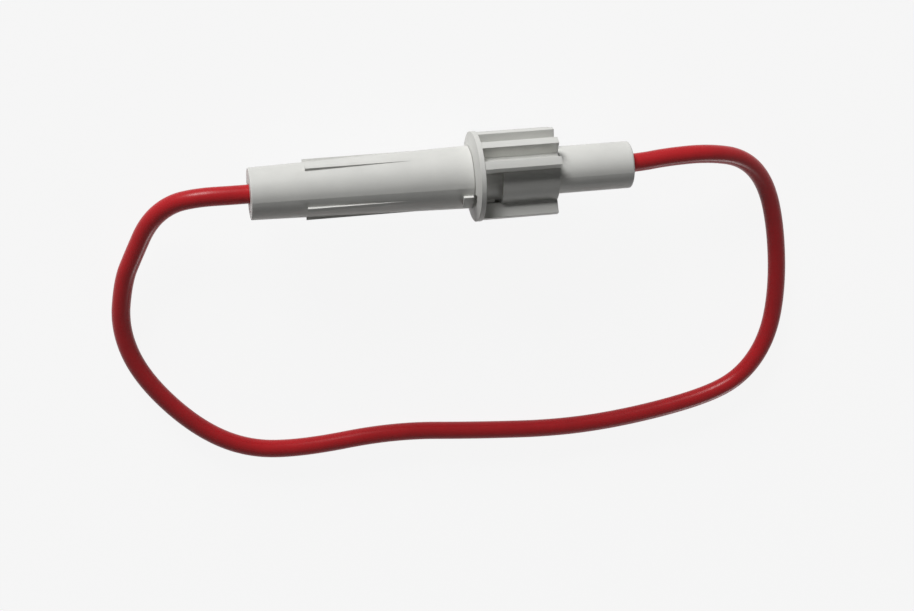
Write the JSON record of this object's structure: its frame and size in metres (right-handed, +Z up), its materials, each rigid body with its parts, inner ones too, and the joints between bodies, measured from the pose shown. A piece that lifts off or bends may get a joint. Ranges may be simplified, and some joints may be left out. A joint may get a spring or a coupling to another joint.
{
  "type": "inline fuse holder",
  "caption": "Inline twist-lock holder for a small glass fuse: tapered body, gripped cap, sprung contact and a red wire looped from end to end.",
  "frame": {"origin": "on the ground under the middle of the holder's length; the loop of wire isn't counted", "axes": "+X along the holder's axis from the body to the cap, +Z up from the ground that flange and wire rest on, the loop lies towards -Y"},
  "size_m": [0.096, 0.0493, 0.012],
  "materials": {
    "housing": "smooth moulded, satin",
    "wire_insulation": "smooth PVC, soft gloss",
    "contact_brass": "turned",
    "copper": "bare strands",
    "spring_steel": "drawn wire",
    "washer": "pressed board",
    "fuse_glass": "clear",
    "fuse_plating": "bright nickel",
    "solder": "dull"
  },
  "bodies": {
    "body": {"body_shell": "housing", "spring_washer": "washer", "contact_spring": "spring_steel", "lead_wire": "wire_insulation"},
    "contact": {"left_terminal": "contact_brass", "left_conductor": "copper"},
    "carrier": {"right_terminal": "contact_brass", "right_conductor": "copper", "fuse_tube": "fuse_glass", "fuse_end_cap_left": "fuse_plating", "fuse_end_cap_right": "fuse_plating", "fuse_solder_left": "solder", "fuse_solder_right": "solder", "fuse_element": "copper"},
    "cap": {"cap_shell": "housing"}
  },
  "joints": [
    {"name": "contact_press", "type": "slide", "parent": "body", "child": "contact", "axis": [1, 0, 0], "range_m": [-0.0015, 0], "stiffness_N_per_m": 400, "springref_m": 0.002, "deforming": ["contact_spring"]},
    {"name": "cap_pull", "type": "slide", "parent": "body", "child": "carrier", "axis": [1, 0, 0], "range_m": [0, 0.025], "deforming": ["lead_wire"]},
    {"name": "cap_twist", "type": "hinge", "parent": "carrier", "child": "cap", "pos_m": [0.01, 0, 0.006], "axis": [1, 0, 0], "range_deg": [0, 60]}
  ]
}
